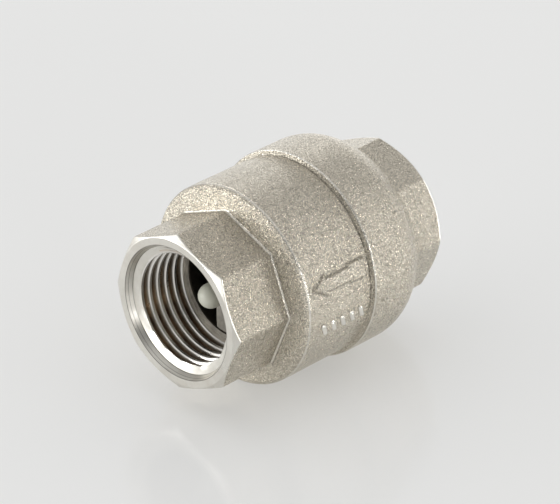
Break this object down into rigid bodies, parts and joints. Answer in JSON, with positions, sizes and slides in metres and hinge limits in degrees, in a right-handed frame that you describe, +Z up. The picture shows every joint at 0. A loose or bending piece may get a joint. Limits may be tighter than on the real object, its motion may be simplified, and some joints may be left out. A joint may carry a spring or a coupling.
{
  "type": "in-line spring check valve",
  "caption": "In-line spring check valve with female pipe threads in both octagonal ends, a round two-piece body and a sprung poppet inside.",
  "frame": {"origin": "centre of the valve on its flow axis, midway between the two end faces", "axes": "+X along the flow axis from the inlet cap to the outlet body, the way the flow arrow points; +Z up, along one arm of the guide bridge; +Y to the side that carries the arrow"},
  "size_m": [0.048, 0.0354, 0.0354],
  "materials": {
    "nickel_body": "nickel-plated forging, fine blasted satin, threads machined bright",
    "nickel_cap": "nickel-plated forging, fine blasted satin, threads machined bright",
    "gasket": "off-white PTFE, waxy",
    "poppet_plastic": "natural acetal, slightly translucent off-white",
    "seal_rubber": "black nitrile rubber, matt",
    "washer_steel": "stainless, tumbled",
    "screw_steel": "stainless, bright",
    "spring_steel": "drawn stainless wire"
  },
  "bodies": {
    "valve_body": {"outlet_body": "nickel_body", "inlet_cap": "nickel_cap", "body_gasket": "gasket", "spring": "spring_steel"},
    "poppet_body": {"poppet": "poppet_plastic", "seat_seal": "seal_rubber", "seal_retainer": "washer_steel", "retainer_screw": "screw_steel"}
  },
  "joints": [
    {"name": "poppet_slide", "type": "slide", "parent": "valve_body", "child": "poppet_body", "axis": [1, 0, 0], "range_m": [0, 0.005], "stiffness_N_per_m": 160, "springref_m": -0.004, "deforming": ["spring"]}
  ]
}
